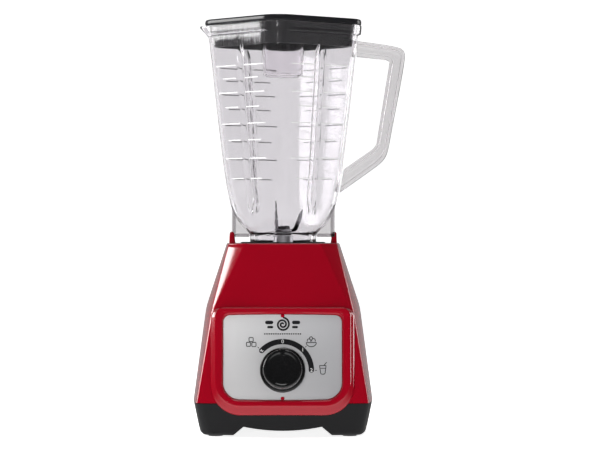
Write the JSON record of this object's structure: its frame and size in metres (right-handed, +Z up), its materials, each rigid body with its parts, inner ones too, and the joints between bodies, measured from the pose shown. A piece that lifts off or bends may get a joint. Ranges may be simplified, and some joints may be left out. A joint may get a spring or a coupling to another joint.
{
  "type": "countertop blender",
  "caption": "Countertop blender: clear square jar with handle, spout, black lid and feeder cap on a red motor base with a rotary speed knob; motor, drive and blades inside.",
  "frame": {"origin": "on the worktop, under the centre of the whole object's box", "axes": "+Z up, -Y out of the control panel, +X towards the jar's handle"},
  "size_m": [0.2004, 0.1899, 0.3934],
  "materials": {
    "red_shell": "glossy deep red moulded plastic",
    "black_tray": "fine matte black moulding",
    "foot_rubber": "matte black rubber",
    "gasket_rubber": "soft white silicone",
    "silver_plate": "satin silver, printed",
    "black_knob": "glossy black",
    "steel": "plain machined",
    "blade_steel": "ground and polished stainless",
    "brass": "plain brass",
    "bronze": "sintered bronze, oiled",
    "laminations": "varnished stacked sheet",
    "copper": "varnished copper wire",
    "cast_alloy": "fine as-cast grain",
    "carbon": "pressed carbon",
    "grey_plastic": "plain moulding",
    "pale_plastic": "plain cream moulding",
    "lead_cover": "soft cover",
    "clear_jar": "clear, faintly violet",
    "clear_cap": "clear, faintly violet",
    "black_lid": "smooth black"
  },
  "bodies": {
    "base": {"housing": "red_shell", "bottom_tray": "black_tray", "rubber_feet": "foot_rubber", "tray_screws": "steel", "deck_insert": "black_tray", "control_plate": "silver_plate", "switch_bushing": "brass", "switch_body": "pale_plastic", "stator_core": "laminations", "field_coils": "copper", "upper_bracket": "cast_alloy", "lower_bracket": "cast_alloy", "upper_bearing": "bronze", "lower_bearing": "bronze", "through_bolts": "steel", "bracket_screws": "steel", "brush_holders": "brass", "carbon_brushes": "carbon", "brush_springs": "steel", "cord_gland": "black_tray", "terminal_block": "pale_plastic", "switch_leads": "lead_cover"},
    "rotor": {"motor_shaft": "steel", "armature_core": "laminations", "armature_windings": "copper", "commutator": "brass", "cooling_fan": "grey_plastic", "slinger": "foot_rubber", "drive_stud": "cast_alloy"},
    "dial": {"knob": "black_knob", "switch_shaft": "steel"},
    "jar_body": {"jar": "clear_jar", "jar_nut": "black_tray", "gasket": "gasket_rubber", "blade_carrier": "cast_alloy", "blade_bush": "bronze"},
    "blade": {"blade_shaft": "steel", "drive_socket": "steel", "lower_blade": "blade_steel", "upper_blade": "blade_steel", "blade_washers": "blade_steel", "blade_cap_nut": "blade_steel"},
    "lid_body": {"lid": "black_lid"},
    "cap_body": {"filler_cap": "clear_cap"}
  },
  "joints": [
    {"name": "rotor_spin", "type": "hinge", "parent": "base", "child": "rotor", "pos_m": [-0.0157, 0.0076, 0.082], "axis": [0, 0, 1], "continuous": true},
    {"name": "knob_turn", "type": "hinge", "parent": "base", "child": "dial", "pos_m": [-0.0157, -0.07439, 0.0616], "axis": [0, 0.9911, -0.1333], "range_deg": [-45, 90]},
    {"name": "jar_lift", "type": "slide", "parent": "base", "child": "jar_body", "axis": [0, 0, 1], "range_m": [0, 0.12]},
    {"name": "blade_spin", "type": "hinge", "parent": "jar_body", "child": "blade", "pos_m": [-0.0157, 0.0076, 0.175], "axis": [0, 0, 1], "continuous": true},
    {"name": "lid_lift", "type": "slide", "parent": "jar_body", "child": "lid_body", "axis": [0, 0, 1], "range_m": [0, 0.1]},
    {"name": "cap_lift", "type": "slide", "parent": "lid_body", "child": "cap_body", "axis": [0, 0, 1], "range_m": [0, 0.08]}
  ],
  "couplings": [
    {"joint": "blade_spin", "follows": "rotor_spin", "ratio": 1}
  ]
}
